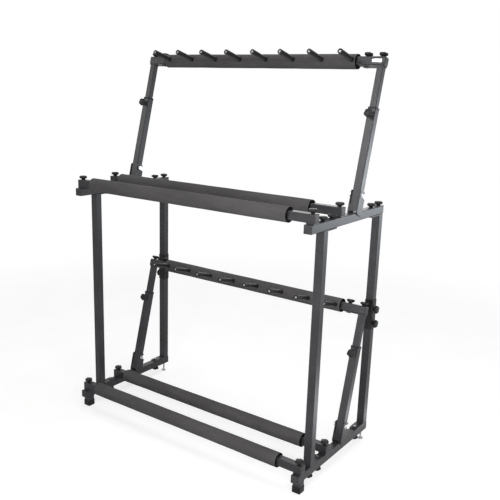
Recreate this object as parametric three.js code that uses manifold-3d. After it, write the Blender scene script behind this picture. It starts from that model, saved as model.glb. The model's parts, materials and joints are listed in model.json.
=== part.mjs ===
// Two-tier display stand of square steel tube: a bolted frame with foam-sleeved crossbars, and on each tier a
// leaning neck frame that folds forward on two hinge brackets and telescopes in its outer uprights.
// Millimetres, +Z up, +Y to the back. The origin is under the middle of the stand, on the ground.

import * as THREE from 'three';
import { mergeVertices } from 'three/addons/utils/BufferGeometryUtils.js';
import Module from 'manifold-3d';

const wasm = await Module();
wasm.setup();

// Frame
const frameWidth = 886; // left rail centre to right rail centre
const frameDepth = 345; // front post centre to rear post centre
const lowerRailHeight = 47.5; // rail centre above the ground
const upperRailHeight = 780;
const railOverhang = 78; // front post centre to the front end of the rail tube

// Square tube, its end plugs and the flat plates
const tube = 25;
const tubeWall = 1.5;
const tubeCorner = 2;
const slimTube = 20; // the inner, telescoping uprights
const slimWall = 1.5;
const slimCorner = 1.5;
const plugFlange = 2;
const plugDepth = 6;
const plugInset = 0.6;
const plate = 3;
const plateCorner = 3;
const plateHolePitch = 50; // post axis to the second hole of its end plate

// Fits
const seatGap = 0.3; // between a piece and the one it is clamped or seated on
const screwClearance = 0.3; // between a screw, bolt or stud and its hole
const overrun = 2; // how far a cutting tool reaches past what it cuts

// Crossbars and their pads
const crossbarOverhang = 13; // past the rail's centre line, plug flange included
const frontCrossbarReach = 56; // ahead of the front posts
const middleCrossbarSetback = 91; // behind the front posts
const padThickness = 2.5;

// Foam sleeves
const foamDiameter = 44;
const foamEndInset = 59; // from the rail's centre line to the end of a centred sleeve
const neckFoamEndInset = 70;
const foamFit = 0.3;
const lowerFrontFoamShift = -9.5; // how far each sleeve sits off the middle of its bar
const lowerMiddleFoamShift = -15;
const upperFrontFoamShift = -11.5;
const upperMiddleFoamShift = -28;
const lowerNeckFoamShift = -1;
const upperNeckFoamShift = -6;

// Leaning uprights: rises are measured along the tube, from where its axis crosses the top of the rail
const lean = THREE.MathUtils.degToRad(14.8);
const uprightLead = 159.6; // ahead of the rear posts, where the axis crosses the top of the rail
const heelRise = 9.6;
const pivotRise = 49.6;
const pivotForward = 4; // ahead of the tube's axis
const outerUprightRise = 302;
const collarHeight = 6;
const collarProud = 0.5;
const slideFit = 0.35;
const innerUprightLength = 263;
const lowerNeckRise = 420; // up to the axis of the neck bar
const upperNeckRise = 439;

// Hinge brackets
const earRear = 17.5; // behind the tube's axis
const earFoot = 8.2; // below the start of the rises
const earFootRadius = 10;
const earHeelRadius = 5;
const earTopFront = 63;
const earTopRear = 60;
const earTopRadius = 6;
const biteRise = 49;
const biteBehind = 13.5;
const biteRadius = 8;
const webRise = 20; // upper edge of the web, the heel's stop
const webFoot = 2; // its lower edge, clear of the rail
const weldLength = 22;
const weldHeight = 5;
const weldDrop = 1.5;
const weldBite = 0.5;
const pivotBoltDiameter = 8;
const pivotHeadDiameter = 14;
const pivotHeadHeight = 1.6;
const pivotNutHeight = 6;

// Pegs
const pegCount = 8;
const pegEndInset = 18.1; // from the end of a centred sleeve to the first peg
const pegReach = 100; // from the neck bar's axis to the tip
const pegDiameter = 16;
const pegRodDiameter = 8;
const pegRecess = 2;
const pegChamfer = 1;

// Hand knobs, screws and nuts
const knobDiameter = 26;
const knobRim = 5.5;
const knobCone = 4.5; // height of the cone under the rim
const knobHeight = 12;
const knobNeckDiameter = 11;
const knobDraft = 0.8;
const knobLobes = 5;
const lobeDepth = 1.6;
const lockKnobReach = 34; // from the upright's axis to the end of the knob
const lockKnobDrop = 19.5; // below the top of the outer upright
const lockBossDiameter = 16;
const lockBossHeight = 4;
const screwDiameter = 8;
const screwEnd = 0.5; // what shows past the nut
const nutWidth = 13;
const nutThickness = 2.5; // thin pressed nuts
const neckKnobPitch = 47; // between the two knobs at each end of a neck bar

// Rear post joint
const jointHeight = 435; // above the ground
const jointGap = 1;
const joinerWall = 1.5;
const joinerFit = 0.3;
const joinerLength = 97;
const joinerDrop = 42; // from the joint down to the sleeve's lower end
const joinerKnobPitch = 47.3;

// Feet
const footWidth = 28;
const footHeight = 20;
const footFloor = 3;
const footFit = 0.3;
const footCorner = 3;
const footChamfer = 1;
const padDiameter = 17;
const footPadHeight = 6;
const studDiameter = 6;

// Number of flat facets on round shapes
const roundSides = 10;
const screwSides = 6;
const pegSides = 8;
const foamSides = 24;
const cornerFacets = 2;
const plateFacets = 1;
const earFacets = 3;

// Places worked out from the sizes above
const halfTube = tube / 2;
const sideX = frameWidth / 2;
const railLength = railOverhang + frameDepth + halfTube;
const crossbarLength = frameWidth + 2 * crossbarOverhang;
const foamLength = frameWidth - 2 * foamEndInset;
const neckFoamLength = frameWidth - 2 * neckFoamEndInset;
const pegPitch = (neckFoamLength - 2 * pegEndInset) / (pegCount - 1);
const uprightSetback = frameDepth - uprightLead;
const joinerBottom = jointHeight - joinerDrop;
const crossbarRise = tube + padThickness; // crossbar centre above rail centre
const postHeight = upperRailHeight - lowerRailHeight - tube - 2 * seatGap;
const postFoot = lowerRailHeight + halfTube + seatGap; // height of the posts' lower end
const clampScrewLength = tube + padThickness + tubeWall + nutThickness + screwEnd;
const postScrewLength = tube + seatGap + plate + nutThickness + screwEnd;
const neckScrewLength = tube + 2 * seatGap + plate + nutThickness + screwEnd;
const earInside = halfTube + seatGap;
const earFront = earInside + plate; // ahead of the tube's axis
const joinerWidth = tube + 2 * joinerFit + 2 * joinerWall;
const middleOfDepth = (frameDepth + halfTube - railOverhang) / 2;

const paint = { color: 0x4b4b4f, roughness: 0.5, metalness: 0.35 };
const materials = {
  steel: new THREE.MeshStandardMaterial(paint),
  plastic: new THREE.MeshStandardMaterial({ color: 0x17171a, roughness: 0.55, metalness: 0 }),
  foam: new THREE.MeshStandardMaterial({ color: 0x4a4848, roughness: 0.95, metalness: 0 }),
  zinc: new THREE.MeshStandardMaterial({ color: 0xb9bcc0, roughness: 0.3, metalness: 0.9 }),
};

// Solids: every helper returns a closed geometry

function solidOf(geometry) {
  geometry.deleteAttribute('normal');
  geometry.deleteAttribute('uv');
  const welded = mergeVertices(geometry);
  return new wasm.Manifold(new wasm.Mesh({
    numProp: 3,
    vertProperties: new Float32Array(welded.attributes.position.array),
    triVerts: withoutSlivers(welded.index.array),
  }));
}

// A revolved profile has triangles without area where it meets the axis
function withoutSlivers(corners) {
  const kept = [];
  for (let i = 0; i < corners.length; i += 3) {
    const [a, b, c] = corners.slice(i, i + 3);
    if (a !== b && b !== c && c !== a) {
      kept.push(a, b, c);
    }
  }
  return new Uint32Array(kept);
}

function geometryOf(solid) {
  const { vertProperties, triVerts } = solid.getMesh();
  const geometry = new THREE.BufferGeometry();
  geometry.setAttribute('position', new THREE.BufferAttribute(vertProperties, 3));
  geometry.setIndex(new THREE.BufferAttribute(triVerts, 1));
  geometry.computeVertexNormals();
  return geometry;
}

function join(...pieces) {
  return geometryOf(pieces.map(solidOf).reduce((whole, piece) => whole.add(piece)));
}

function cut(body, ...tools) {
  return geometryOf([body, ...tools].map(solidOf).reduce((rest, tool) => rest.subtract(tool)));
}

function moved(geometry, x, y, z) {
  return geometry.clone().translate(x, y, z);
}

// A solid that points along +Z is laid along +X or +Y; its own X and Y turn round with it
function alongX(geometry) {
  const turn = new THREE.Matrix4().makeRotationFromEuler(new THREE.Euler(Math.PI / 2, Math.PI / 2, 0));
  return geometry.clone().applyMatrix4(turn);
}

function alongY(geometry) {
  return geometry.clone().rotateX(-Math.PI / 2);
}

function flipped(geometry) {
  return geometry.clone().rotateY(Math.PI);
}

function prism(shape, length, facets = cornerFacets) {
  return new THREE.ExtrudeGeometry(shape, { depth: length, bevelEnabled: false, curveSegments: facets });
}

// A closed profile of [radius, height] pairs, from the axis back to the axis, turned about Z
function revolved(profile, sides = roundSides) {
  const points = profile.map(([radius, height]) => new THREE.Vector2(radius, height));
  return new THREE.LatheGeometry(points, sides).rotateX(Math.PI / 2);
}

function roundedRectangle(width, height, radius) {
  const x = width / 2 - radius;
  const y = height / 2 - radius;
  const shape = new THREE.Shape();
  shape.absarc(x, -y, radius, -Math.PI / 2, 0);
  shape.absarc(x, y, radius, 0, Math.PI / 2);
  shape.absarc(-x, y, radius, Math.PI / 2, Math.PI);
  shape.absarc(-x, -y, radius, Math.PI, 1.5 * Math.PI);
  return shape;
}

function polygon(sides, radius) {
  const corners = Array.from({ length: sides }, (_, i) => {
    const angle = (2 * Math.PI * (i + 0.5)) / sides;
    return new THREE.Vector2(radius * Math.cos(angle), radius * Math.sin(angle));
  });
  return new THREE.Shape(corners);
}

function box(width, depth, height) {
  return new THREE.BoxGeometry(width, depth, height).translate(0, 0, height / 2);
}

function rod(diameter, length, sides = roundSides) {
  return prism(polygon(sides, diameter / 2), length);
}

// A hole whose flats, not its corners, keep the clearance
function screwHole(diameter, length) {
  const radius = (diameter / 2 + screwClearance) / Math.cos(Math.PI / screwSides);
  return moved(rod(2 * radius, length + 2 * overrun, screwSides), 0, 0, -overrun);
}

function hexagon(width, height) {
  return rod(width / Math.cos(Math.PI / 6), height, 6);
}

function squareTube(side, wall, corner, length) {
  const bore = side - 2 * wall;
  const inside = moved(box(bore, bore, length + 2 * overrun), 0, 0, -overrun);
  return cut(prism(roundedRectangle(side, side, corner), length), inside);
}

// Square tube with a plastic plug pressed into each end: the flanges lie outside the length
function pluggedTube(length) {
  const plug = endPlug();
  return join(
    squareTube(tube, tubeWall, tubeCorner, length),
    plug,
    moved(flipped(plug), 0, 0, length),
  );
}

function endPlug() {
  const flange = tube - 2 * plugInset;
  const bore = tube - 2 * tubeWall;
  return join(moved(box(flange, flange, plugFlange), 0, 0, -plugFlange), box(bore, bore, plugDepth));
}

// A hand knob stands on z = 0 with its screw below; its rim is scalloped between the lobes
function handKnob(screwLength, height) {
  const rim = knobDiameter / 2;
  const neck = knobNeckDiameter / 2;
  const underside = height - knobRim;
  const head = revolved([
    [0, 0],
    [neck, 0],
    [neck, underside - knobCone],
    [rim, underside],
    [rim - knobDraft, height],
    [0, height],
  ], 2 * knobLobes);
  const screw = moved(rod(screwDiameter, screwLength + underside, screwSides), 0, 0, -screwLength);
  return join(scalloped(head, neck), screw);
}

function scalloped(geometry, innerRadius) {
  const places = geometry.attributes.position;
  for (let i = 0; i < places.count; i += 1) {
    const radius = Math.hypot(places.getX(i), places.getY(i));
    const angle = Math.atan2(places.getY(i), places.getX(i));
    if (radius > innerRadius + lobeDepth && Math.sin(knobLobes * angle) < 0) {
      const inward = (radius - lobeDepth) / radius;
      places.setXY(i, places.getX(i) * inward, places.getY(i) * inward);
    }
  }
  return geometry;
}

// Hinge bracket in the leaning frame: X across, Y behind the tube's axis, Z up along it
function earShape() {
  const front = -earFront;
  const top = earTopFront - earTopRadius;
  const shape = new THREE.Shape();
  shape.moveTo(front + earFootRadius, -earFoot);
  shape.absarc(earRear - earHeelRadius, earHeelRadius - earFoot, earHeelRadius, -Math.PI / 2, 0);
  const noseRadius = earRear - biteBehind;
  shape.absarc(biteBehind, biteRise - biteRadius - noseRadius, noseRadius, 0, Math.PI / 2);
  shape.absarc(biteBehind, biteRise, biteRadius, -Math.PI / 2, Math.PI / 2, true);
  shape.lineTo(halfTube, earTopRear);
  shape.absarc(front + earTopRadius, top, earTopRadius, Math.PI / 2, Math.PI);
  shape.absarc(front + earFootRadius, earFootRadius - earFoot, earFootRadius, Math.PI, 1.5 * Math.PI);
  return shape;
}

function standingPlate(shape, thickness, x) {
  const turn = new THREE.Matrix4().makeBasis(
    new THREE.Vector3(0, 1, 0), new THREE.Vector3(0, 0, 1), new THREE.Vector3(1, 0, 0));
  return prism(shape, thickness, earFacets).applyMatrix4(turn).translate(x, 0, 0);
}

function pivotHole(width) {
  const hole = alongX(screwHole(pivotBoltDiameter, width));
  return moved(hole, -width / 2, -pivotForward, pivotRise);
}

function leaned(geometry) {
  return geometry.clone().rotateX(-lean).translate(0, uprightSetback, halfTube);
}

function hingeBracket() {
  const ears = [earInside, -earInside - plate].map((x) => standingPlate(earShape(), plate, x));
  const web = moved(box(2 * earInside + plate, plate, webRise - webFoot), 0, -earFront + plate / 2, webFoot);
  const bracket = cut(join(...ears, web), pivotHole(2 * earInside + 2 * plate));
  const bead = box(seatGap + 2 * weldBite, weldLength, weldHeight);
  const beads = [1, -1].map((side) => {
    const x = side * (halfTube + seatGap / 2);
    return moved(bead, x, uprightSetback, halfTube - weldDrop - weldHeight);
  });
  return join(leaned(bracket), ...beads);
}

// Rail along Y: its origin is on the centre line, at the front post
function railKnobPlaces(tier) {
  const places = [0, plateHolePitch, frameDepth - plateHolePitch];
  return tier.knobsOnTop ? [...places, frameDepth] : places;
}

function rail(tier) {
  const body = moved(alongY(pluggedTube(railLength)), 0, -railOverhang, 0);
  const knob = moved(handKnob(postScrewLength, knobHeight), 0, 0, halfTube);
  const knobs = railKnobPlaces(tier).map((y) => moved(tier.knobsOnTop ? knob : flipped(knob), 0, y, 0));
  const clampPlaces = [-frontCrossbarReach, middleCrossbarSetback];
  const holes = clampPlaces.map((y) => moved(screwHole(screwDiameter, tubeWall), 0, y, halfTube - tubeWall));
  const pieces = [body, ...knobs, hingeBracket()];
  if (tier.feet) {
    pieces.push(footStub());
    holes.push(moved(screwHole(studDiameter, tubeWall), 0, frameDepth, -halfTube));
  }
  return cut(join(...pieces), ...holes);
}

function footStub() {
  const length = lowerRailHeight - halfTube - footFloor - seatGap;
  return moved(squareTube(tube, tubeWall, tubeCorner, length), 0, -frontCrossbarReach, -halfTube - length);
}

// Feet stand on z = 0
function frontFoot() {
  const cavity = tube + 2 * footFit;
  const body = prism(roundedRectangle(footWidth, footWidth, footCorner), footHeight);
  return cut(body, moved(box(cavity, cavity, footHeight), 0, 0, footFloor));
}

function rearFoot() {
  return revolved([
    [0, 0],
    [padDiameter / 2 - footChamfer, 0],
    [padDiameter / 2, footChamfer],
    [padDiameter / 2, footPadHeight - footChamfer],
    [studDiameter / 2, footPadHeight],
    [studDiameter / 2, lowerRailHeight],
    [0, lowerRailHeight],
  ]);
}

// Posts stand on z = 0; the end plates reach towards +Y
function postEnd() {
  const length = plateHolePitch + tube;
  const flat = moved(prism(roundedRectangle(tube, length, plateCorner), plate, plateFacets), 0, plateHolePitch / 2, 0);
  const nut = moved(hexagon(nutWidth, nutThickness + plate / 2), 0, plateHolePitch, plate / 2);
  const hole = screwHole(screwDiameter, plate + nutThickness);
  return cut(join(flat, nut), hole, moved(hole, 0, plateHolePitch, 0));
}

function postTube(bottom, top) {
  return moved(squareTube(tube, tubeWall, tubeCorner, top - bottom), 0, 0, bottom);
}

function crossHole(height) {
  return moved(alongX(screwHole(screwDiameter, tube)), -halfTube, 0, height);
}

function frontPost() {
  const top = moved(flipped(postEnd()), 0, 0, postHeight);
  return join(postEnd(), top, postTube(plate, postHeight - plate));
}

function rearPostLower() {
  const joint = jointHeight - postFoot - jointGap / 2;
  return cut(join(postEnd(), postTube(plate, joint)), crossHole(jointHeight - postFoot - joinerKnobPitch / 2));
}

function rearPostUpper() {
  const joint = jointHeight - postFoot + jointGap / 2;
  const top = moved(flipped(postEnd()), 0, 0, postHeight);
  const holeHeight = jointHeight - postFoot + joinerKnobPitch / 2;
  return cut(join(top, postTube(joint, postHeight - plate)), crossHole(holeHeight));
}

// Sleeve over the rear post joint with its two clamp knobs on the +X side
function rearPostJoiner() {
  const sleeve = squareTube(joinerWidth, joinerWall, tubeCorner + joinerWall, joinerLength);
  const knob = alongX(handKnob(joinerWidth + screwEnd, knobHeight));
  const middle = jointHeight - joinerBottom;
  const knobs = [-1, 1].map((side) => moved(knob, joinerWidth / 2, 0, middle + (side * joinerKnobPitch) / 2));
  return join(sleeve, ...knobs);
}

// Crossbar and neck bar lie along X, centred on the origin
function barTube() {
  const length = crossbarLength - 2 * plugFlange;
  return moved(alongX(pluggedTube(length)), -length / 2, 0, 0);
}

function crossbar() {
  const pad = box(tube, tube, padThickness - seatGap + overrun / 2);
  const padPlace = seatGap - padThickness - halfTube;
  const pads = [-sideX, sideX].map((x) => moved(pad, x, 0, padPlace));
  const hole = moved(screwHole(screwDiameter, tube + padThickness), 0, 0, -halfTube - padThickness);
  return cut(join(barTube(), ...pads), ...[-sideX, sideX].map((x) => moved(hole, x, 0, 0)));
}

function foamSleeve(length) {
  const bore = tube + 2 * foamFit;
  const body = rod(foamDiameter, length, foamSides);
  const sleeve = cut(body, moved(box(bore, bore, length + 2 * overrun), 0, 0, -overrun));
  return moved(alongX(sleeve), -length / 2, 0, 0);
}

function pegPlaces() {
  return Array.from({ length: pegCount }, (_, i) => (i - (pegCount - 1) / 2) * pegPitch);
}

// A peg points to -Y: a rod through the foam, then a thicker sleeve with a recessed tip
function peg() {
  const rodRadius = pegRodDiameter / 2;
  const radius = pegDiameter / 2;
  const sleeveStart = foamDiameter / 2 + seatGap;
  const body = revolved([
    [0, halfTube - tubeWall],
    [rodRadius, halfTube - tubeWall],
    [rodRadius, sleeveStart],
    [radius, sleeveStart],
    [radius, pegReach - pegChamfer],
    [radius - pegChamfer, pegReach],
    [rodRadius, pegReach],
    [0, pegReach - pegRecess],
  ], pegSides);
  return alongY(body).rotateZ(Math.PI);
}

function neckKnobPlaces() {
  return [-sideX, neckKnobPitch - sideX, sideX - neckKnobPitch, sideX];
}

function neckBar() {
  const pegs = pegPlaces().map((x) => moved(peg(), x, 0, 0));
  const hole = moved(screwHole(screwDiameter, tube), 0, 0, -halfTube);
  return cut(join(barTube(), ...pegs), ...neckKnobPlaces().map((x) => moved(hole, x, 0, 0)));
}

function neckFoam(shift) {
  const hole = alongY(screwHole(pegRodDiameter, foamDiameter / 2)).rotateZ(Math.PI);
  return cut(foamSleeve(neckFoamLength), ...pegPlaces().map((x) => moved(hole, x - shift, 0, 0)));
}

// Uprights in the leaning frame
function outerUpright() {
  const lockRise = outerUprightRise - lockKnobDrop;
  const collarSide = tube + 2 * collarProud;
  const collarLow = outerUprightRise - collarHeight / 2;
  const collar = moved(prism(roundedRectangle(collarSide, collarSide, tubeCorner), collarHeight), 0, 0, collarLow);
  const body = moved(squareTube(tube, tubeWall, tubeCorner, outerUprightRise - heelRise), 0, 0, heelRise);
  const bossFace = -halfTube - lockBossHeight;
  const boss = moved(alongY(rod(lockBossDiameter, lockBossHeight + tubeWall / 2)), 0, bossFace, lockRise);
  const slide = slimTube + 2 * slideFit;
  const slideLength = collarHeight + 2 * overrun;
  return cut(
    join(body, moved(endPlug(), 0, 0, heelRise), collar, boss),
    moved(box(slide, slide, slideLength), 0, 0, collarLow - overrun),
    pivotHole(tube),
    standingPlate(polygon(roundSides, biteRadius), tube, -halfTube).translate(0, biteBehind, biteRise),
    moved(alongY(screwHole(screwDiameter, lockBossHeight + tubeWall)), 0, bossFace, lockRise),
  );
}

// The inner upright hangs from its top plate, z = 0, which reaches towards -X under the neck bar
function innerUpright() {
  const length = neckKnobPitch + tube;
  const flat = moved(prism(roundedRectangle(length, tube, plateCorner), plate, plateFacets), -neckKnobPitch / 2, 0, -plate);
  const nut = moved(hexagon(nutWidth, nutThickness + plate / 2), -neckKnobPitch, 0, -plate - nutThickness);
  const stem = moved(squareTube(slimTube, slimWall, slimCorner, innerUprightLength), 0, 0, -plate - innerUprightLength);
  const hole = moved(screwHole(screwDiameter, plate + nutThickness), 0, 0, -plate - nutThickness);
  return cut(join(flat, stem, nut), hole, moved(hole, -neckKnobPitch, 0, 0));
}

// Along X, with its low round head outside the stand and its nut inside
function pivotBolt() {
  const reach = earFront + seatGap;
  return join(
    alongX(revolved([
      [0, -reach],
      [pivotBoltDiameter / 2, -reach],
      [pivotBoltDiameter / 2, reach],
      [pivotHeadDiameter / 2, reach],
      [pivotHeadDiameter / 2 - pivotHeadHeight, reach + pivotHeadHeight],
      [0, reach + pivotHeadHeight],
    ])),
    moved(alongX(hexagon(nutWidth, pivotNutHeight)), -reach - pivotNutHeight, 0, 0),
  );
}

function lockKnob() {
  const seat = halfTube + lockBossHeight + seatGap;
  const screwLength = seat - slimTube / 2 - seatGap;
  const knob = handKnob(screwLength, lockKnobReach - seat);
  return moved(alongY(knob), 0, seat, 0).rotateZ(Math.PI);
}

// Assembly
const stand = new THREE.Group();
stand.position.y = -middleOfDepth;

function place(parent, name, geometry, material, x, y, z, turn = 0) {
  const mesh = new THREE.Mesh(geometry, material);
  mesh.name = name;
  mesh.position.set(x, y, z);
  mesh.rotation.z = turn;
  parent.add(mesh);
}

// Calls build with the side's name, its place across the stand and the half turn of a piece with an inner side
function forBothSides(build) {
  build('left', -sideX, Math.PI);
  build('right', sideX, 0);
}

function addCrossbar(name, foamShift, y, z) {
  place(stand, `${name}_crossbar`, crossbar(), materials.steel, 0, y, z);
  place(stand, `${name}_foam`, foamSleeve(foamLength), materials.foam, foamShift, y, z);
  forBothSides((side, x) => {
    const knob = handKnob(clampScrewLength, knobHeight);
    place(stand, `${name}_knob_${side}`, knob, materials.plastic, x, y, z + halfTube + seatGap);
  });
}

function addNeckFrame(tier) {
  const frame = new THREE.Group();
  frame.position.set(0, uprightSetback, tier.railHeight + halfTube);
  frame.rotation.x = -lean;
  stand.add(frame);
  const barBottom = tier.neckRise - halfTube;
  const knobSeat = tier.neckRise + halfTube + seatGap;
  const lockRise = outerUprightRise - lockKnobDrop;
  place(frame, `${tier.name}_neck_bar`, neckBar(), materials.steel, 0, 0, tier.neckRise);
  const foam = neckFoam(tier.neckFoamShift);
  place(frame, `${tier.name}_neck_foam`, foam, materials.foam, tier.neckFoamShift, 0, tier.neckRise);
  forBothSides((side, x, turn) => {
    const name = (piece) => `${tier.name}_${piece}_${side}`;
    place(frame, name('outer_upright'), outerUpright(), materials.steel, x, 0, 0);
    place(frame, name('inner_upright'), innerUpright(), materials.steel, x, 0, barBottom - seatGap, turn);
    place(frame, name('pivot_bolt'), pivotBolt(), materials.zinc, x, -pivotForward, pivotRise, turn);
    place(frame, name('lock_knob'), lockKnob(), materials.plastic, x, 0, lockRise);
    const inward = x - Math.sign(x) * neckKnobPitch;
    const knob = handKnob(neckScrewLength, knobHeight);
    place(frame, `${name('neck_knob')}_outer`, knob, materials.plastic, x, 0, knobSeat);
    place(frame, `${name('neck_knob')}_inner`, knob.clone(), materials.plastic, inward, 0, knobSeat);
  });
}

function addTier(tier) {
  const barHeight = tier.railHeight + crossbarRise;
  forBothSides((side, x) => place(stand, `${tier.name}_rail_${side}`, rail(tier), materials.steel, x, 0, tier.railHeight));
  addCrossbar(`${tier.name}_front`, tier.frontFoamShift, -frontCrossbarReach, barHeight);
  addCrossbar(`${tier.name}_middle`, tier.middleFoamShift, middleCrossbarSetback, barHeight);
  addNeckFrame(tier);
}

function addPostsAndFeet() {
  forBothSides((side, x, turn) => {
    place(stand, `front_post_${side}`, frontPost(), materials.steel, x, 0, postFoot);
    place(stand, `rear_post_lower_${side}`, rearPostLower(), materials.steel, x, frameDepth, postFoot, Math.PI);
    place(stand, `rear_post_upper_${side}`, rearPostUpper(), materials.steel, x, frameDepth, postFoot, Math.PI);
    place(stand, `rear_post_joiner_${side}`, rearPostJoiner(), materials.plastic, x, frameDepth, joinerBottom, turn);
    place(stand, `front_foot_${side}`, frontFoot(), materials.plastic, x, -frontCrossbarReach, 0);
    place(stand, `rear_foot_${side}`, rearFoot(), materials.zinc, x, frameDepth, 0);
  });
}

addTier({
  name: 'lower',
  railHeight: lowerRailHeight,
  neckRise: lowerNeckRise,
  frontFoamShift: lowerFrontFoamShift,
  middleFoamShift: lowerMiddleFoamShift,
  neckFoamShift: lowerNeckFoamShift,
  knobsOnTop: false,
  feet: true,
});
addTier({
  name: 'upper',
  railHeight: upperRailHeight,
  neckRise: upperNeckRise,
  frontFoamShift: upperFrontFoamShift,
  middleFoamShift: upperMiddleFoamShift,
  neckFoamShift: upperNeckFoamShift,
  knobsOnTop: true,
  feet: false,
});
addPostsAndFeet();

export default stand;
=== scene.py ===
# Two-tier display stand of square tube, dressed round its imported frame: foam sleeves, pegs, hand knobs,
# nuts, caps and feet are modelled here, and the tubes and plates keep their own solids.
# Shapes are worked out in millimetres and put into their meshes in metres. +Z is up and +Y is the back.
import json
import math

import bpy
import numpy as np
from mathutils import Euler, Matrix, Vector


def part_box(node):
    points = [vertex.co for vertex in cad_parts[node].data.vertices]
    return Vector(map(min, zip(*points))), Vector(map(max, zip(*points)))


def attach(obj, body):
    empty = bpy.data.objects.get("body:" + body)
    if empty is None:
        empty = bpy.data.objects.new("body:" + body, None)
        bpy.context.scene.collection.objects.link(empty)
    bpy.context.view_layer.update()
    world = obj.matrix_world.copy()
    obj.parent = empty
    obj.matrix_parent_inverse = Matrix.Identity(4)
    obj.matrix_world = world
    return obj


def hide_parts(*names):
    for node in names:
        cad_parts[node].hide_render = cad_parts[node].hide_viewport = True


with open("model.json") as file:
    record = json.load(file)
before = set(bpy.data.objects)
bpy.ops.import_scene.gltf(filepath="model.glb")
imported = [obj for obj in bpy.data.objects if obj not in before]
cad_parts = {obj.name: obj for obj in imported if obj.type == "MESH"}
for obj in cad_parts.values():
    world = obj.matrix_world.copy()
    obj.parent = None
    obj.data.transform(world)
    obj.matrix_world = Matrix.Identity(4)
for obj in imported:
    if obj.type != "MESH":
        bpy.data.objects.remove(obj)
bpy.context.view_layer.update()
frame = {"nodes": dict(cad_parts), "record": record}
scene = bpy.context.scene
mm = 0.001
fullTurn = 2 * math.pi
tiers = ("lower", "upper")
sides = {"left": -1, "right": 1}
sharpAngle = 38
print("frame loaded:", len(frame["nodes"]), "nodes")

# Where things are, as in the part: millimetres from the floor and from the middle of the stand.
# Rises of the neck, the lock knobs and the pivots are measured along the leaning uprights.
stand = {
    "sideX": 443, "frontPostY": -139.75, "rearPostY": 205.25, "uprightY": 45.65, "lean": 14.8,
    "tube": 25, "corner": 2, "gap": 0.3, "plate": 3,
    "railTop": {"lower": 60, "upper": 792.5}, "railBottom": {"lower": 35, "upper": 767.5},
    "barY": {"front": -195.75, "middle": -48.75}, "barRise": 15, "barHalf": 454,
    "neckRise": {"lower": 420, "upper": 439}, "neckBoltIn": 47, "lockRise": 282.5,
    "plateBoltIn": 50, "joinerRise": 435, "pegs": 8, "pegPitch": 101.4,
}
halfTube = stand["tube"] / 2
pegPlaces = [(i - (stand["pegs"] - 1) / 2) * stand["pegPitch"] for i in range(stand["pegs"])]


# Every shape is three arrays: its points, its four-cornered faces and its three-cornered faces.
# Rings of points are joined in order by quads. Each open end is closed by a fan round its middle,
# or the last ring is joined to the first one where endless is set.
def ringShape(rings, endless=False):
    count, around, _ = rings.shape
    index = np.arange(count * around).reshape(count, around)
    lower = index if endless else index[:-1]
    upper = np.roll(index, -1, axis=0) if endless else index[1:]
    quads = np.stack([lower, np.roll(lower, -1, 1), np.roll(upper, -1, 1), upper], axis=-1).reshape(-1, 4)
    points = rings.reshape(-1, 3)
    if endless:
        return facingOut(points, quads, np.zeros((0, 3), dtype=int))
    points = np.vstack([points, rings[[0, -1]].mean(axis=1)])
    first, last = index[0], index[-1]
    firstFan = np.stack([np.roll(first, -1), first, np.full(around, count * around)], axis=-1)
    lastFan = np.stack([last, np.roll(last, -1), np.full(around, count * around + 1)], axis=-1)
    return facingOut(points, quads, np.vstack([firstFan, lastFan]))


# The signed volume under all faces says whether they point out; if not, every face is turned round.
def facingOut(points, quads, fans):
    halves = np.vstack([fans, quads[:, [0, 1, 2]], quads[:, [0, 2, 3]]])
    a, b, c = (points[halves[:, i]] for i in range(3))
    if np.einsum("ij,ij->i", a, np.cross(b, c)).sum() < 0:
        quads, fans = quads[:, ::-1], fans[:, ::-1]
    return points, quads, fans


# Equal steps of angle round a circle
def anglesOf(around):
    return np.arange(around) * fullTurn / around


# Angles crowded towards the four corners, where a rounded square bends
def cornerAngles(around):
    angle = anglesOf(around)
    return angle + math.pi / 4 - 0.2 * np.sin(4 * angle)


# The distance from the middle of a rounded square to its edge, by angle: the straight side's distance,
# and near a corner the far cut with the corner's circle.
def squareRadius(angle, width, corner):
    half = width / 2
    c, s = np.abs(np.cos(angle)), np.abs(np.sin(angle))
    straight = half / np.maximum(c, s)
    inner = half - corner
    along = inner * (c + s)
    cut = along + np.sqrt(np.maximum(along ** 2 - 2 * inner ** 2 + corner ** 2, 0))
    return np.where(np.minimum(c, s) * straight > inner, cut, straight)


# The same for a hexagon, from its width across the flats: half of it over the cosine to the nearest flat
def hexagonRadius(angle, width):
    return width / 2 / np.cos((angle + math.pi / 6) % (math.pi / 3) - math.pi / 6)


# One ring of points: a radius by angle, at a height
def ringAt(radius, angle, height):
    level = height * np.ones(len(angle))
    return np.stack([radius * np.cos(angle), radius * np.sin(angle), level], axis=-1)


# Pairs of radius and height turned round +Z. Past the radius at which lobes start, a cosine of the angle
# dips the rim between them, and the dip grows over the lobes' blend.
def turned(profile, around=48, lobes=None):
    angle = anglesOf(around)
    rows = np.array(profile, dtype=float)
    radius = rows[:, :1] * np.ones(around)
    if lobes:
        dip = lobes["depth"] * (0.5 - 0.5 * np.cos(lobes["number"] * (angle - math.pi / 2)))
        radius = radius - np.clip((rows[:, :1] - lobes["start"]) / lobes["blend"], 0, 1) * dip
    height = rows[:, 1:2] * np.ones(around)
    return np.stack([radius * np.cos(angle), radius * np.sin(angle), height], axis=-1)


# A rounded square whose width changes with height, from pairs of width and height
def squareRings(profile, corner, around=64):
    angle = cornerAngles(around)
    return np.array([ringAt(squareRadius(angle, width, min(corner, width / 2)), angle, height)
                     for width, height in profile])


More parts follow.
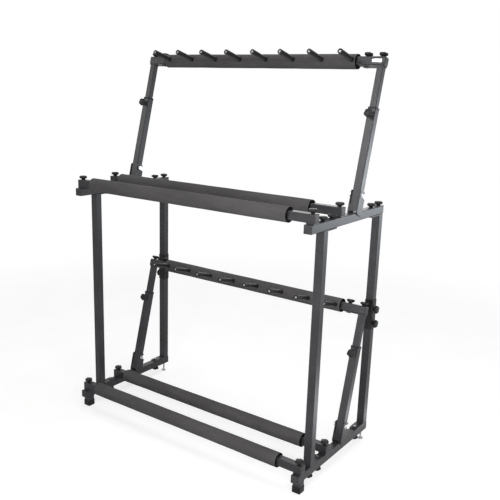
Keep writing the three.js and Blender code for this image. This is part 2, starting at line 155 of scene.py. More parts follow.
# Where a shape's own x, y and z point: each is one column.
facings = {
    "up": np.eye(3),
    "down": np.diag([-1.0, 1.0, -1.0]),
    "right": np.array([[0, 0, 1], [1, 0, 0], [0, 1, 0]], dtype=float),
    "left": np.array([[0, 0, -1], [-1, 0, 0], [0, 1, 0]], dtype=float),
    "front": np.array([[-1, 0, 0], [0, 0, -1], [0, -1, 0]], dtype=float),
    "back": np.array([[1, 0, 0], [0, 0, 1], [0, -1, 0]], dtype=float),
}


def placed(shape, facing, x, y, z):
    points, quads, fans = shape
    return points @ facings[facing].T + np.array([x, y, z], dtype=float), quads, fans


# Turns points of a tier's leaning uprights into the stand's: y across the tube, z up along it.
def leaning(shape, tier):
    points, quads, fans = shape
    lean = math.radians(stand["lean"])
    x, y, z = points.T
    back = stand["uprightY"] + y * math.cos(lean) + z * math.sin(lean)
    up = stand["railTop"][tier] + z * math.cos(lean) - y * math.sin(lean)
    return np.stack([x, back, up], axis=-1), quads, fans


# Joins shapes into one; each shape's faces count on from the points of the ones before it.
def together(shapes):
    points, quads, fans = zip(*shapes)
    starts = np.cumsum([0] + [len(few) for few in points])
    allQuads = np.vstack([faces + start for faces, start in zip(quads, starts)])
    allFans = np.vstack([faces + start for faces, start in zip(fans, starts)])
    return np.vstack(points), allQuads, allFans


# One object of a few shapes, in its finish, on its body and in place of its node, with sharp edges kept.
def makePiece(name, shapes, finish, body, replaces=()):
    points, quads, fans = together(shapes)
    mesh = bpy.data.meshes.new(name)
    mesh.from_pydata((points * mm).tolist(), [], quads.tolist() + fans.tolist())
    mesh.shade_smooth()
    mesh.set_sharp_from_angle(angle=math.radians(sharpAngle))
    mesh.materials.append(finish["material"])
    piece = bpy.data.objects.new(name, mesh)
    scene.collection.objects.link(piece)
    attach(piece, body)
    if replaces:
        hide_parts(*replaces)
    return piece


# A socket with operators, so that patterns are written as expressions
class Signal:
    def __init__(self, shading, socket):
        self.shading = shading
        self.socket = socket

    def math(self, operation, *others):
        return self.shading.node("ShaderNodeMath", {"operation": operation}, [self, *others])

    def __add__(self, other):
        return self.math("ADD", other)

    def __sub__(self, other):
        return self.math("SUBTRACT", other)

    def __rsub__(self, other):
        return self.shading.node("ShaderNodeMath", {"operation": "SUBTRACT"}, [other, self])

    def __mul__(self, other):
        return self.math("MULTIPLY", other)

    __radd__ = __add__
    __rmul__ = __mul__

    def size(self):
        return self.math("ABSOLUTE")

    def between(self, low, high):
        settings = {"interpolation_type": "SMOOTHSTEP"}
        inputs = {"Value": self, "From Min": low, "From Max": high}
        return self.shading.node("ShaderNodeMapRange", settings, inputs)


# The nodes of a material or of the world
class Shading:
    def __init__(self, tree):
        self.nodes = tree.nodes
        self.links = tree.links

    def node(self, kind, settings=None, inputs=(), output=0):
        made = self.nodes.new(kind)
        for key, value in (settings or {}).items():
            setattr(made, key, value)
        pairs = inputs.items() if isinstance(inputs, dict) else enumerate(inputs)
        for key, value in pairs:
            if isinstance(value, Signal):
                self.links.new(value.socket, made.inputs[key])
            else:
                made.inputs[key].default_value = value
        return Signal(self, made.outputs[output])

    # 1 where the camera sees a surface straight, in a gloss or through glass
    def straightRays(self):
        kinds = ("Camera", "Glossy", "Transmission")
        camera, gloss, glass = (self.node("ShaderNodeLightPath", output=f"Is {kind} Ray") for kind in kinds)
        return camera.math("MAXIMUM", gloss).math("MAXIMUM", glass)


class Finish(Shading):
    def __init__(self, name):
        self.material = bpy.data.materials.new(name)
        self.material.use_nodes = True
        super().__init__(self.material.node_tree)
        self.shader = self.nodes["Principled BSDF"]
        self.surface = Signal(self, self.shader.outputs[0])
        self.place = self.node("ShaderNodeTexCoord", output="Object")

    def noise(self, scale, detail=2.0, roughness=0.5, place=None):
        inputs = {"Vector": place or self.place, "Scale": scale, "Detail": detail, "Roughness": roughness}
        return self.node("ShaderNodeTexNoise", {}, inputs)

    def cells(self, scale):
        return self.node("ShaderNodeTexVoronoi", {}, {"Vector": self.place, "Scale": scale})

    def stretched(self, scale):
        return self.node("ShaderNodeMapping", {}, {"Vector": self.place, "Scale": scale})

    def placeX(self):
        return self.node("ShaderNodeSeparateXYZ", {}, [self.place], "X")

    # Inputs 0, 6 and 7 and output 2 are the factor, the two colours and the colour that comes out.
    def blend(self, amount, first, second):
        return self.node("ShaderNodeMix", {"data_type": "RGBA"}, {0: amount, 6: first, 7: second}, 2)

    def bump(self, height, distance, strength):
        inputs = {"Height": height, "Distance": distance, "Strength": strength}
        return self.node("ShaderNodeBump", {}, inputs)

    def set(self, **values):
        for key, value in values.items():
            socket = self.shader.inputs[key.replace("_", " ")]
            if isinstance(value, Signal):
                self.links.new(value.socket, socket)
            else:
                socket.default_value = value

    def show(self, surface):
        self.links.new(surface.socket, self.nodes["Material Output"].inputs["Surface"])


def rgb(r, g, b):
    return (r, g, b, 1.0)


# Satin charcoal powder coat: a fine orange-peel skin over the tube, with a little dust and small rubbed
# spots. In every finish, roughness is the least value, and the patterns' shares of it are added to it.
coatLook = {
    "dark": rgb(0.026, 0.026, 0.029), "light": rgb(0.045, 0.045, 0.050), "rubbed": rgb(0.08, 0.08, 0.085),
    "peelScale": 620, "grainScale": 2600, "cloudScale": 9, "rubScale": 55,
    "cloudRange": (0.30, 0.72), "grainRange": (0.35, 0.75), "rubRange": (0.70, 0.78),
    "grainShare": 0.25, "rubShare": 0.35, "skinDepth": 0.00012, "gloss": 0.20,
    "roughness": 0.29, "cloudRoughness": 0.12, "grainRoughness": 0.08,
}


def powderCoat():
    look = coatLook
    coat = Finish("powder coat")
    peel = coat.noise(look["peelScale"], 2, 0.55)
    grain = coat.noise(look["grainScale"], 1)
    cloud = coat.noise(look["cloudScale"], 4, 0.6)
    rub = coat.noise(look["rubScale"], 6, 0.7).between(*look["rubRange"]) * look["rubShare"]
    colour = coat.blend(cloud.between(*look["cloudRange"]), look["dark"], look["light"])
    colour = coat.blend(grain.between(*look["grainRange"]) * look["grainShare"], colour, look["light"])
    colour = coat.blend(rub, colour, look["rubbed"])
    roughness = cloud * look["cloudRoughness"] + grain * look["grainRoughness"] + look["roughness"]
    skin = coat.bump(peel * 0.7 + grain * 0.3, look["skinDepth"], 0.8)
    coat.set(Base_Color=colour, Roughness=roughness, Normal=skin, Specular_IOR_Level=look["gloss"])
    return {"material": coat.material, "slot": "powder_coat"}


# Moulded plastic with a faint mould grain and slightly polished wear: knobs, pegs and feet nearly black,
# end plugs grey
plasticLook = {
    "black": (rgb(0.010, 0.010, 0.011), rgb(0.020, 0.020, 0.021)),
    "grey": (rgb(0.040, 0.040, 0.042), rgb(0.060, 0.060, 0.062)),
    "grainScale": 1500, "cloudScale": 40, "cloudRange": (0.3, 0.7), "grainDepth": 0.00006, "gloss": 0.15,
    "roughness": 0.36, "cloudRoughness": 0.2,
}


def mouldedPlastic(shade):
    look = plasticLook
    plastic = Finish(f"moulded plastic {shade}")
    grain = plastic.noise(look["grainScale"], 2)
    cloud = plastic.noise(look["cloudScale"], 3, 0.6)
    colour = plastic.blend(cloud.between(*look["cloudRange"]), *look[shade])
    plastic.set(Base_Color=colour, Roughness=cloud * look["cloudRoughness"] + look["roughness"],
                Normal=plastic.bump(grain, look["grainDepth"], 0.6), Specular_IOR_Level=look["gloss"])
    return {"material": plastic.material, "slot": "black_plastic"}


# Closed-cell foam: a matt skin with fine cells, clouded along the bar, and painted shade, nearly black, on
# its cut ends
foamLook = {
    # The cut colour is painted shade for the foam's cut ends.
    "skin": rgb(0.084, 0.081, 0.083), "pale": rgb(0.112, 0.108, 0.110), "cut": rgb(0.008, 0.008, 0.008),
    "cellScale": 900, "drawnScale": 14, "drawnAlong": 0.35, "speckScale": 420,
    "drawnRange": (0.32, 0.70), "speckRange": (0.52, 0.78), "speckShare": 0.4,
    "cellDepth": 0.0004, "gloss": 0.12, "roughness": 0.81, "speckRoughness": 0.10,
    "endShadeFrom": 0.0016, "endShadeTo": 0.0010,
}


def foamSkin(name, ends):
    look = foamLook
    foam = Finish(name)
    cells = foam.cells(look["cellScale"])
    drawn = foam.noise(look["drawnScale"], 5, 0.62, foam.stretched((look["drawnAlong"], 1, 1)))
    speck = foam.noise(look["speckScale"], 2)
    colour = foam.blend(drawn.between(*look["drawnRange"]), look["skin"], look["pale"])
    colour = foam.blend(speck.between(*look["speckRange"]) * look["speckShare"], colour, look["skin"])
    foam.set(Base_Color=colour, Roughness=speck * look["speckRoughness"] + look["roughness"],
             Normal=foam.bump(cells * 0.7 + drawn * 0.2, look["cellDepth"], 0.45),
             Specular_IOR_Level=look["gloss"])
    # Painted shade on the cut ends: between the two distances set for it, in metres short of each end, the
    # skin gives way to a nearly black matt surface with no gloss.
    middle, half = (ends[0] + ends[1]) / 2 * mm, (ends[1] - ends[0]) / 2 * mm
    cut = (foam.placeX() - middle).size().between(half - look["endShadeFrom"], half - look["endShadeTo"])
    paintedEndShade = foam.node("ShaderNodeBsdfDiffuse", {}, {"Color": look["cut"], "Roughness": 1.0})
    foam.show(foam.node("ShaderNodeMixShader", {}, [cut, foam.surface, paintedEndShade]))
    return {"material": foam.material, "slot": "foam"}


# Zinc plating: clean and dull colours and a roughness. The plating is satin with soft streaks and dull
# spots, and the cut ends of the pegs' cores are duller.
zincLook = {
    "plating": (rgb(0.36, 0.37, 0.39), rgb(0.22, 0.23, 0.24), 0.16),
    "cut ends": (rgb(0.26, 0.26, 0.27), rgb(0.16, 0.16, 0.17), 0.38),
    "cloudScale": 180, "streakScale": 900, "streakAlong": 0.15, "cloudRange": (0.35, 0.75),
    "cloudRoughness": 0.25, "streakRoughness": 0.08, "streakDepth": 0.00002,
}


def zincFinish(state):
    look = zincLook
    clean, dull, roughness = look[state]
    metal = Finish(f"zinc {state}")
    cloud = metal.noise(look["cloudScale"], 4, 0.6)
    streak = metal.noise(look["streakScale"], 2, 0.5, metal.stretched((1, 1, look["streakAlong"])))
    metal.set(Base_Color=metal.blend(cloud.between(*look["cloudRange"]), clean, dull), Metallic=1.0,
              Roughness=cloud * look["cloudRoughness"] + streak * look["streakRoughness"] + roughness,
              Normal=metal.bump(streak, look["streakDepth"], 0.5))
    return {"material": metal.material, "slot": "zinc"}


# The tubes, plates and posts keep their solids and get the finish of their slot.
coat = powderCoat()
plastic = mouldedPlastic("black")
plugPlastic = mouldedPlastic("grey")
zinc = zincFinish("plating")
cutZinc = zincFinish("cut ends")
nodeFinish = {"powder_coat": coat, "black_plastic": plastic, "zinc": zinc}
for subpart in frame["record"]["subparts"]:
    finish = nodeFinish.get(subpart["material_slot"])
    if finish:
        mesh = frame["nodes"][subpart["node"]].data
        mesh.materials.clear()
        mesh.materials.append(finish["material"])
print("finishes made")

# Foam sleeves. Each wave has its rate along the bar, its number of turns round it and its start.
sleeveLook = {
    "radius": 22, "bore": 25.6, "boreCorner": 2.5, "chamfer": 0.6, "chamferDepth": 1,
    "rounding": 1.6, "roundSteps": 5, "step": 3.0, "around": 96, "wave": 0.11,
    "waves": ((0.011, 2, 0.3), (0.027, 3, 1.9), (0.052, 5, 4.1), (0.019, 1, 2.6)), "seedShift": 1.7,
    "dimpleDepth": 1.7, "dimpleWidth": 8.5,
}


# Round the bar's axis: a circle outside and the tube's rounded square inside, joined over rounded ends.
# Slow waves of a fraction of a millimetre run over the skin, and a bell curve draws it in round each peg.
def sleeveShape(low, high, pegs=(), seed=0):
    look = sleeveLook
    angle = anglesOf(look["around"])
    bend = np.linspace(0, math.pi / 2, look["roundSteps"])
    inset = look["rounding"] * (1 - np.sin(bend))
    edge = look["radius"] - look["rounding"] * (1 - np.cos(bend))
    steps = int((high - low) / look["step"])
    straight = np.linspace(low + look["rounding"], high - look["rounding"], steps)[1:-1]
    along = np.concatenate([low + inset[::-1], straight, high - inset])
    reach = np.concatenate([edge[::-1], np.full(steps - 2, float(look["radius"])), edge])
    x = along[:, None] * np.ones(len(angle))
    wave = sum(np.sin(x * rate + turns * angle + seed * look["seedShift"] + start)
               for rate, turns, start in look["waves"])
    radius = reach[:, None] + look["wave"] * wave
    fromFront = (angle + math.pi) % fullTurn - math.pi
    for peg in pegs:
        away = (x - peg) ** 2 + (look["radius"] * fromFront) ** 2
        radius = radius - look["dimpleDepth"] * np.exp(-away / look["dimpleWidth"] ** 2)
    bore = squareRadius(angle, look["bore"], look["boreCorner"])
    mouth, depth = bore + look["chamfer"], look["chamferDepth"]
    boreRings = [(high, mouth), (high - depth, bore), (low + depth, bore), (low, mouth)]
    rings = [np.stack([x, radius], axis=-1)]
    rings += [np.stack([np.full(len(angle), end), r], axis=-1)[None] for end, r in boreRings]
    end, r = np.moveaxis(np.concatenate(rings), -1, 0)
    # angle 0 is the front of the bar, and the angle grows upwards
    return ringShape(np.stack([end, -r * np.cos(angle), r * np.sin(angle)], axis=-1), True)


# The low and the high end of a node's box along an axis, in millimetres
def endsOf(node, axis):
    low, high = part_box(node)
    return low[axis] / mm, high[axis] / mm


for tier in tiers:
    barZ = stand["railTop"][tier] + stand["barRise"]
    for row, (bar, y) in enumerate(stand["barY"].items()):
        node = f"{tier}_{bar}_foam"
        ends = endsOf(node, 0)
        shape = placed(sleeveShape(*ends, seed=row + 2 * (tier == "upper")), "up", 0, y, barZ)
        foam = foamSkin(f"foam {tier} {bar}", ends)
        sleeve = makePiece(f"{tier}_{bar}_sleeve", [shape], foam, "frame", [node])
    node = f"{tier}_neck_foam"
    ends = endsOf(node, 0)
    shape = leaning(placed(sleeveShape(*ends, pegPlaces, seed=5), "up", 0, 0, stand["neckRise"][tier]), tier)
    foam = foamSkin(f"foam {tier} neck", ends)
    sleeve = makePiece(f"{tier}_neck_sleeve", [shape], foam, f"{tier}_neck", [node])
print("foam sleeves made")

# Neck bars with their pegs, and the plugs in all tube ends
pegLook = {
    "radius": 8, "start": 19, "middle": 60, "reach": 100, "rounding": 1.6, "roundSteps": 6, "around": 40,
    "coreRadius": 4.1, "coreDepth": 0.9, "coreGap": 0.05, "coreAround": 32,
}
capLook = {"width": 24.4, "corner": 3.2, "thick": 2.2, "crown": 0.25, "railInset": 2}


# A straight sleeve, rounded over at its tip by a quarter circle and open round its core.
def pegShape():
    r, core, reach, rounding = (pegLook[key] for key in ("radius", "coreRadius", "reach", "rounding"))
    bend = np.linspace(0, math.pi / 2, pegLook["roundSteps"])
    profile = [(r, pegLook["start"]), (r, pegLook["middle"])]
    profile += [(r - rounding * (1 - math.cos(b)), reach - rounding * (1 - math.sin(b))) for b in bend]
    profile += [(core + 0.3, reach), (core, reach - 0.4), (core, reach - 3)]
    return ringShape(turned(profile, pegLook["around"]))


# A short rod just under the peg's tip, with a broken edge and a hardly domed end
def pegCoreShape():
    r, top = pegLook["coreRadius"] - pegLook["coreGap"], pegLook["reach"] - pegLook["coreDepth"]
    profile = [(r, top - 4), (r, top - 0.5), (r - 0.5, top), (r * 0.5, top + 0.15), (0.3, top + 0.2)]
    return ringShape(turned(profile, pegLook["coreAround"]))


# A plug's flange: a rounded square, rounded over at its rim and crowned a little in the middle.
def capShape():
    w, thick, crown = capLook["width"], capLook["thick"], capLook["crown"]
    profile = [(w - 1, -0.2), (w, 0), (w, thick - 0.9), (w - 0.5, thick - 0.3), (w - 1.4, thick),
               (w * 0.6, thick + crown * 0.7), (w * 0.2, thick + crown)]
    return ringShape(squareRings(profile, capLook["corner"]))


# The tube is one rounded square carried along X, with a small chamfer at each end.
def barShape():
    half, tube, chamfer = stand["barHalf"], stand["tube"], 0.2
    profile = [(tube - 2 * chamfer, -half), (tube, -half + chamfer), (tube, half - chamfer),
               (tube - 2 * chamfer, half)]
    return placed(ringShape(squareRings(profile, stand["corner"])), "right", 0, 0, 0)


for tier in tiers:
    rise, body = stand["neckRise"][tier], f"{tier}_neck"
    bar = leaning(placed(barShape(), "up", 0, 0, rise), tier)
    makePiece(f"{tier}_neck_tube", [bar], coat, body, [f"{tier}_neck_bar"])
    pegs = [leaning(placed(pegShape(), "front", x, 0, rise), tier) for x in pegPlaces]
    makePiece(f"{tier}_pegs", pegs, plastic, body)
    cores = [leaning(placed(pegCoreShape(), "front", x, 0, rise), tier) for x in pegPlaces]
    makePiece(f"{tier}_peg_cores", cores, cutZinc, body)
    caps = [placed(capShape(), side, sign * stand["barHalf"], 0, rise) for side, sign in sides.items()]
    makePiece(f"{tier}_neck_caps", [leaning(cap, tier) for cap in caps], plugPlastic, body)
for tier in tiers:
    barZ = stand["railTop"][tier] + stand["barRise"]
    for bar, y in stand["barY"].items():
        caps = [placed(capShape(), side, sign * stand["barHalf"], y, barZ) for side, sign in sides.items()]
        makePiece(f"{tier}_{bar}_caps", caps, plugPlastic, "frame")
    front, back = endsOf(f"{tier}_rail_left", 1)
    seats = (("front", front + capLook["railInset"]), ("back", back - capLook["railInset"]))
    railZ = stand["railTop"][tier] - halfTube
    caps = [placed(capShape(), facing, sign * stand["sideX"], y, railZ)
            for facing, y in seats for sign in sides.values()]
    makePiece(f"{tier}_rail_caps", caps, plugPlastic, "frame")
print("neck bars, pegs and caps made")

# Hand knobs: a waisted neck under a lobed head with a low crown
knobLook = {
    "height": 12, "lockHeight": 17.2, "diameter": 26, "neck": 5.7, "rim": 5.5, "cone": 4.5, "draft": 0.8,
    "lobes": {"number": 5, "depth": 1.6, "start": 6.7, "blend": 3}, "cover": 0.25, "crown": 0.7, "around": 80,
    "lockOut": 16.8, "joinerOut": 14.3, "joinerApart": 47.3,
}


# The profile goes up the neck, out along a cone, up its drafted rim, over a small round and across a low
# crown. The cover is what keeps it just outside its solid.
def knobShape(height):
    neck, cover, draft = knobLook["neck"], knobLook["cover"], knobLook["draft"]
    rim = knobLook["diameter"] / 2 + cover
    under, top = height - knobLook["rim"], height + cover
    cone, crown = under - knobLook["cone"], top + knobLook["crown"]
    profile = [
        (neck, 0), (neck, cone - 0.3), (neck + 0.6, cone + 0.3),
        (rim - 0.9, under - 0.8), (rim - 0.2, under - 0.3), (rim, under + 0.3),
        (rim - draft * 0.6, top - 1.0), (rim - draft - 0.1, top - 0.35),
        (rim - draft - 0.6, top - 0.06), (rim - draft - 1.2, top),
        (rim * 0.62, top + 0.1), (rim * 0.56, top + 0.5), (rim * 0.3, crown), (1.0, crown + 0.08),
    ]
    return ringShape(turned(profile, knobLook["around"], knobLook["lobes"]))


frameKnob = knobShape(knobLook["height"])
lockKnob = knobShape(knobLook["lockHeight"])
plateBolts = (stand["frontPostY"] + stand["plateBoltIn"], stand["rearPostY"] - stand["plateBoltIn"])
for tier in tiers:
    onTop = tier == "upper"
    barTop = stand["railTop"][tier] + stand["barRise"] + halfTube + stand["gap"]
    for side, sign in sides.items():
        x = sign * stand["sideX"]
        for bar, y in stand["barY"].items():
            node = f"{tier}_{bar}_knob_{side}"
            makePiece(node + "_grip", [placed(frameKnob, "up", x, y, barTop)], plastic, "frame", [node])
        # the upper rails carry theirs on top and one more over the rear post, the lower ones underneath
        facing, seat = ("up", stand["railTop"][tier]) if onTop else ("down", stand["railBottom"][tier])
        places = [stand["frontPostY"], *plateBolts] + ([stand["rearPostY"]] if onTop else [])
        knobs = [placed(frameKnob, facing, x, y, seat) for y in places]
        makePiece(f"{tier}_post_knobs_{side}", knobs, plastic, "frame")
        knobSeat = stand["neckRise"][tier] + halfTube + stand["gap"]
        for place, inward in (("outer", 0), ("inner", stand["neckBoltIn"])):
            node = f"{tier}_neck_knob_{side}_{place}"
            shape = leaning(placed(frameKnob, "up", x - sign * inward, 0, knobSeat), tier)
            makePiece(node + "_grip", [shape], plastic, f"{tier}_neck", [node])
        node = f"{tier}_lock_knob_{side}"
        shape = leaning(placed(lockKnob, "front", x, -knobLook["lockOut"], stand["lockRise"]), tier)
        makePiece(node + "_grip", [shape], plastic, node + "_body", [node])
for side, sign in sides.items():
    x = sign * (stand["sideX"] + knobLook["joinerOut"])
    rises = [stand["joinerRise"] + half * knobLook["joinerApart"] / 2 for half in (-1, 1)]
    knobs = [placed(frameKnob, side, x, stand["rearPostY"], rise) for rise in rises]
    makePiece(f"joiner_knobs_{side}", knobs, plastic, "frame")
print("hand knobs made")

# Nuts and screw ends on the plates, pivot bolts, collars and bosses
nutLook = {
    "width": 13.3, "height": 2.7, "screw": 8.1, "screwFrom": 0.5, "screwPast": 0.6, "pitch": 1.25,
    "around": 72,
}
boltLook = {
    "reach": 16.1, "head": 7, "headHeight": 1.75, "socket": 5, "forward": -4, "rise": 49.6,
    "nut": 13, "nutHeight": 6, "thread": 8, "threadFrom": 3, "threadPast": 1.2, "shank": 3.95,
}
collarLook = {
    "corner": 2.4, "bossAround": 48,
    "profile": [(25.1, 298.8), (26.1, 298.9), (26.3, 299.4), (26.3, 304.4), (26.0, 305), (25.2, 305.2),
                (21.2, 305.2), (20.9, 304.8), (20.9, 298.8)],
    "boss": [(8.2, -1), (8.2, 3.6), (7.7, 4.1), (6.9, 4.1)],
}


# A hexagon whose corners are cut by a cone at the top: the smaller of the two radii by angle.
def nutShape(width, height):
    angle = anglesOf(nutLook["around"])
    hexagon = hexagonRadius(angle, width)
    cone = [(1.2, 0), (1.2, 0.05), (1.2, height - 0.7), (0.2, height), (-1.6, height)]
    rings = [ringAt(np.minimum(hexagon, width / 2 + extra), angle, z) for extra, z in cone]
    return ringShape(np.array(rings))


# A screw thread: the radius is a triangle wave of height less one turn per pitch, drawn in at its end.
def threadShape(diameter, low, high, pitch, around=24):
    angle = anglesOf(around)
    z = np.arange(low, high, pitch / 6)
    phase = (z[:, None] / pitch - angle / fullTurn) % 1
    radius = diameter / 2 - 0.5 * pitch * (1 - np.abs(2 * phase - 1))
    end = np.clip((high - z) / 0.8, 0.55, 1)[:, None]
    radius = radius * (0.8 + 0.2 * end)
    height = z[:, None] * np.ones(around)
    return ringShape(np.stack([radius * np.cos(angle), radius * np.sin(angle), height], axis=-1))


# A low dome with a hexagon socket sunk in it.
def boltHeadShape():
    r, h, base = boltLook["head"], boltLook["headHeight"], boltLook["reach"]
    angle = anglesOf(nutLook["around"])
    profile = [(4.0, base - 4), (4.0, base), (r, base), (r, base + 0.3), (r * 0.93, base + h * 0.62),
               (r * 0.75, base + h * 0.9), (r * 0.52, base + h)]
    socket = hexagonRadius(angle, boltLook["socket"])
    rings = [ringAt(radius, angle, z) for radius, z in profile]
    rings += [ringAt(socket, angle, z) for z in (base + h, base + 0.4)]
    return ringShape(np.array(rings))


# The head on the outer side, the shank through both ears, and the nut with the thread's end inside
def pivotBoltShapes(side, sign):
    outX, inX = sign * stand["sideX"], sign * (stand["sideX"] - boltLook["reach"])
    inner = "left" if side == "right" else "right"
    at = (boltLook["forward"], boltLook["rise"])
    shank = [(boltLook["shank"], -boltLook["reach"] - 1), (boltLook["shank"], boltLook["reach"])]
    nut = nutShape(boltLook["nut"], boltLook["nutHeight"])
    threadTop = boltLook["nutHeight"] + boltLook["threadPast"]
    thread = threadShape(boltLook["thread"], boltLook["threadFrom"], threadTop, nutLook["pitch"])
    return [placed(boltHeadShape(), side, outX, *at), placed(nut, inner, inX, *at),
            placed(thread, inner, inX, *at), placed(ringShape(turned(shank, 32)), side, outX, *at)]


plateNut = nutShape(nutLook["width"], nutLook["height"])
screwTop = nutLook["height"] + nutLook["screwPast"]
plateScrew = threadShape(nutLook["screw"], nutLook["screwFrom"], screwTop, nutLook["pitch"])
platePast = stand["plate"] + stand["gap"]
plateSeats = (("up", stand["railTop"]["lower"] + platePast),
              ("down", stand["railBottom"]["upper"] - platePast))
for side, sign in sides.items():
    x = sign * stand["sideX"]
    for part, shape, finish in (("nuts", plateNut, coat), ("screws", plateScrew, zinc)):
        seated = [placed(shape, facing, x, y, seat) for y in plateBolts for facing, seat in plateSeats]
        makePiece(f"post_{part}_{side}", seated, finish, "frame")
    for tier in tiers:
        seat = stand["neckRise"][tier] - halfTube - platePast
        for part, shape, finish in (("nut", plateNut, coat), ("screw", plateScrew, zinc)):
            under = leaning(placed(shape, "down", x - sign * stand["neckBoltIn"], 0, seat), tier)
            makePiece(f"{tier}_neck_{part}_{side}", [under], finish, f"{tier}_neck")
        node = f"{tier}_pivot_bolt_{side}"
        bolt = [leaning(shape, tier) for shape in pivotBoltShapes(side, sign)]
        makePiece(node + "_zinc", bolt, zinc, "frame", [node])
        collar = ringShape(squareRings(collarLook["profile"], collarLook["corner"]), True)
        collar = leaning(placed(collar, "up", x, 0, 0), tier)
        makePiece(f"{tier}_collar_{side}", [collar], plastic, f"{tier}_uprights")
        boss = ringShape(turned(collarLook["boss"], collarLook["bossAround"]))
        boss = leaning(placed(boss, "front", x, -halfTube, stand["lockRise"]), tier)
        makePiece(f"{tier}_boss_{side}", [boss], coat, f"{tier}_uprights")
print("nuts, bolts and collars made")

# Feet: the front caps, from pairs of width and height, and the rear levelling feet on their studs
footLook = {
    "corner": 3,
    "cap": [(22, 0), (25.6, 0), (27.2, 0.8), (27.8, 2.2), (27.5, 6), (27.5, 14.6), (26.7, 15), (26.7, 15.6),
            (27.9, 16), (28, 17), (28, 19), (27.4, 19.7), (26.4, 20), (25.6, 19.8), (25.6, 3)],
    "pad": [(6.5, 0), (7.9, 0.2), (8.5, 0.9), (8.5, 3.4), (8.0, 4.4), (5.0, 5.2), (4.0, 6.2), (3.4, 7.5)],
    "stud": 6, "studFrom": 5, "studTo": 47.5, "studPitch": 1.0,
    "jamNut": 10, "jamHeight": 4.5, "jamRise": 30.2,
}
for side, sign in sides.items():
    x = sign * stand["sideX"]
    node = f"front_foot_{side}"
    cap = ringShape(squareRings(footLook["cap"], footLook["corner"]))
    makePiece(node + "_cap", [placed(cap, "up", x, stand["barY"]["front"], 0)], plastic, "frame", [node])
    node = f"rear_foot_{side}"
    pad = ringShape(turned(footLook["pad"]))
    stud = threadShape(footLook["stud"], footLook["studFrom"], footLook["studTo"], footLook["studPitch"])
    jam = nutShape(footLook["jamNut"], footLook["jamHeight"])
    shapes = [placed(shape, "up", x, stand["rearPostY"], rise)
              for shape, rise in ((pad, 0), (stud, 0), (jam, footLook["jamRise"]))]
    makePiece(node + "_zinc", shapes, zinc, node + "_body", [node])
print("feet made")

# Welds along both sides of the brackets' feet
weldLook = {
    "radius": 1.7, "ripple": 0.22, "pitch": 1.6, "from": -5, "to": 12, "rise": -8.6, "apart": 25.8,
    "steps": 70, "around": 20,
}


# A round bead along y whose radius ripples with the sine of the place and tapers at both ends
def beadShape():
    y = np.linspace(weldLook["from"], weldLook["to"], weldLook["steps"])
    angle = anglesOf(weldLook["around"])
    taper = np.clip(np.minimum(y - weldLook["from"], weldLook["to"] - y) / 1.5, 0.15, 1) ** 0.5
    ripple = weldLook["ripple"] * np.abs(np.sin(y * math.pi / weldLook["pitch"]))
    radius = (weldLook["radius"] + ripple) * taper
    ring = np.stack([np.cos(angle), 0 * angle, np.sin(angle)], axis=-1)
    return ringShape(radius[:, None, None] * ring + np.stack([0 * y, y, 0 * y], axis=-1)[:, None, :])


for tier in tiers:
    places = [sign * stand["sideX"] + half * weldLook["apart"] / 2
              for sign in sides.values() for half in (-1, 1)]
    beads = [leaning(placed(beadShape(), "up", x, 0, weldLook["rise"]), tier) for x in places]
    makePiece(f"{tier}_welds", beads, coat, "frame")

# A bare bright plate on the front of the upper neck bar, near its right end
plateLook = {
    "x": 431.5, "width": 31, "height": 10, "thick": 0.6, "corner": 1.0, "chamfer": 0.3, "sunk": 0.1,
    "colour": rgb(0.84, 0.84, 0.85), "worn": rgb(0.74, 0.74, 0.75),
    "drawnScale": 700, "drawnAlong": 0.08, "drawnRange": (0.4, 0.8), "drawnDepth": 0.00002,
    "metallic": 0.3, "roughness": 0.36, "drawnRoughness": 0.15,
}


# A rounded square of width 1 stretched to the plate's width and height, with a chamfer at both faces
def flatPlate():
    width, height, thick, chamfer = (plateLook[key] for key in ("width", "height", "thick", "chamfer"))
    angle = cornerAngles(64)
    unit = ringAt(squareRadius(angle, 1, plateLook["corner"] / width), angle, 0)
    levels = [(chamfer, 0), (0, chamfer), (0, thick - chamfer), (chamfer, thick)]
    return ringShape(np.array([unit * [width - 2 * inset, height - 2 * inset, 1] + [0, 0, z]
                               for inset, z in levels]))


def satinPlate():
    look = plateLook
    satin = Finish("bare satin plate")
    drawn = satin.noise(look["drawnScale"], 3, 0.6, satin.stretched((look["drawnAlong"], 1, 1)))
    satin.set(Base_Color=satin.blend(drawn.between(*look["drawnRange"]), look["colour"], look["worn"]),
              Metallic=look["metallic"], Roughness=drawn * look["drawnRoughness"] + look["roughness"],
              Normal=satin.bump(drawn, look["drawnDepth"], 0.3))
    return {"material": satin.material, "slot": "zinc"}


plate = placed(flatPlate(), "front", plateLook["x"], plateLook["sunk"] - halfTube, stand["neckRise"]["upper"])
makePiece("upper_bare_plate", [leaning(plate, "upper")], satinPlate(), "upper_neck")
print("welds and bare plate made")

studio = {
    "floorRadius": 9, "floorPoints": 96,
    "floorColour": rgb(0.50, 0.50, 0.50), "floorPatch": rgb(0.47, 0.47, 0.47), "patchScale": 6,
    "patchRange": (0.3, 0.7), "floorGlow": 0.70, "fadeFrom": 1.3, "fadeTo": 2.6,
    "worldLight": 0.20, "white": rgb(1, 1, 1),
}


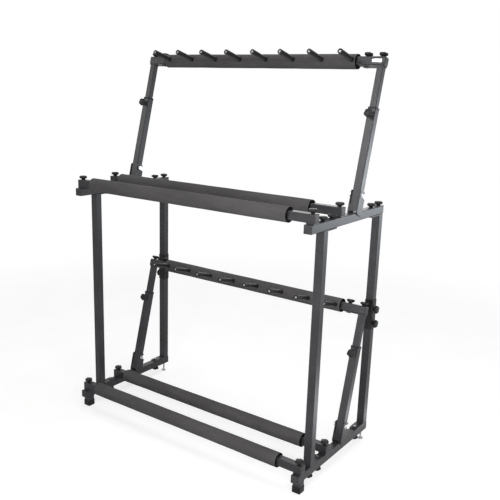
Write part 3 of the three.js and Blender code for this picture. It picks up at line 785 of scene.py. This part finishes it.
# The floor shows white and keeps the soft shadow near the stand; further out it fades to plain white.
def makeFloor():
    rim = ringAt(studio["floorRadius"], anglesOf(studio["floorPoints"]), 0)
    mesh = bpy.data.meshes.new("floor")
    mesh.from_pydata(rim.tolist(), [], [list(range(len(rim)))])
    floor = bpy.data.objects.new("floor", mesh)
    scene.collection.objects.link(floor)
    paint = Finish("floor paint")
    patches = paint.noise(studio["patchScale"], 3).between(*studio["patchRange"])
    paint.set(Base_Color=paint.blend(patches, studio["floorColour"], studio["floorPatch"]), Roughness=0.9,
              Specular_IOR_Level=0.0)
    glow = paint.node("ShaderNodeEmission", {}, {"Color": studio["white"], "Strength": studio["floorGlow"]})
    white = paint.node("ShaderNodeEmission", {}, {"Color": studio["white"], "Strength": 1.0})
    lit = paint.node("ShaderNodeAddShader", {}, [paint.surface, glow])
    away = paint.node("ShaderNodeVectorMath", {"operation": "LENGTH"}, [paint.place], 1)
    fade = away.between(studio["fadeFrom"], studio["fadeTo"])
    shown = paint.node("ShaderNodeMixShader", {}, [fade, lit, white])
    paint.show(paint.node("ShaderNodeMixShader", {}, [paint.straightRays(), paint.surface, shown]))
    mesh.materials.append(paint.material)


# White where the camera, gloss or glass sees it, and a weaker even light for everything else.
def makeWorld():
    world = bpy.data.worlds.new("studio")
    scene.world = world
    world.use_nodes = True
    sky = Shading(world.node_tree)
    level = sky.straightRays() * (1 - studio["worldLight"]) + studio["worldLight"]
    background = sky.nodes["Background"]
    background.inputs["Color"].default_value = studio["white"]
    sky.links.new(level.socket, background.inputs["Strength"])


# The panels and strips light the gloss alone; a grid narrows their beams to the spread, in degrees.
lamps = {
    "key": {"from": (1.2, -1.3, 0.95), "at": (0.25, 0, 0.6), "size": 1.5, "power": 27,
            "tint": (1, 0.985, 0.98)},
    "fill": {"from": (-2.4, -2.4, 1.6), "at": (0, 0, 0.5), "size": 2.0, "power": 5, "tint": (1, 1, 1)},
    "top": {"from": (0.2, 0.6, 3.6), "at": (0, 0, 0.6), "size": 2.0, "power": 45, "tint": (1, 1, 1)},
    "low panel": {"from": (-0.38, -1.85, 0.36), "at": (0.44, 0, 0.47), "size": 0.7, "power": 0.34,
                  "tint": (1, 0.99, 0.985), "glossOnly": True, "spread": 20},
    "high panel": {"from": (-0.60, -1.9, 1.95), "at": (0.44, 0, 1.12), "size": 0.8, "power": 1.8,
                   "tint": (1, 1, 1), "glossOnly": True, "spread": 34},
    "left panel": {"from": (-2.3, -1.7, 1.85), "at": (-0.44, 0.1, 1.0), "size": 0.8, "power": 1.5,
                   "tint": (1, 1, 1), "glossOnly": True, "spread": 50},
    "strip": {"from": (2.13, 2.785, 0.54), "at": (0.45, 0.1, 0.95), "size": 0.5, "power": 2.6,
              "tint": (0.86, 0.93, 1), "glossOnly": True, "spread": 50},
    "low strip": {"from": (0.74, 0.30, 0.01), "at": (0.70, 0.28, 1), "size": 0.36, "power": 1.6,
                  "tint": (0.95, 0.97, 1), "glossOnly": True},
    "back panel": {"from": (-2.0, 3.4, 1.5), "at": (0.2, -0.1, 0.8), "size": 2.0, "power": 28,
                   "tint": (1, 1, 1), "glossOnly": True},
}


def makeLamps():
    for name, look in lamps.items():
        light = bpy.data.lights.new(name, "AREA")
        light.size = look["size"]
        light.energy = look["power"]
        light.color = look["tint"]
        light.spread = math.radians(look.get("spread", 180))
        lamp = bpy.data.objects.new(name, light)
        lamp.visible_camera = False
        lamp.visible_diffuse = "glossOnly" not in look
        lamp.location = look["from"]
        aim = Vector(look["at"]) - Vector(look["from"])
        lamp.rotation_euler = aim.to_track_quat("-Z", "Y").to_euler()
        scene.collection.objects.link(lamp)


view = {
    "from": (1.3284, -1.75495, 1.1435), "yaw": -36.20, "pitch": -14.15, "roll": 1.51,
    "lens": 49.66, "sensor": 36, "shiftX": 0.034, "shiftY": 0.016,
}


# Turned up from looking straight down, then round by the yaw; the roll is about the lens's own axis.
def makeCamera():
    data = bpy.data.cameras.new("camera")
    data.lens = view["lens"]
    data.sensor_width = view["sensor"]
    data.shift_x = view["shiftX"]
    data.shift_y = view["shiftY"]
    camera = bpy.data.objects.new("camera", data)
    aim = Euler((math.radians(90 + view["pitch"]), 0, math.radians(-view["yaw"])), "XYZ").to_matrix()
    roll = Matrix.Rotation(math.radians(view["roll"]), 3, "Z")
    camera.rotation_euler = (aim @ roll).to_euler()
    camera.location = view["from"]
    scene.collection.objects.link(camera)
    scene.camera = camera


makeFloor()
makeWorld()
makeLamps()
makeCamera()
scene.view_settings.view_transform = "Standard"
print("floor, light and camera made")
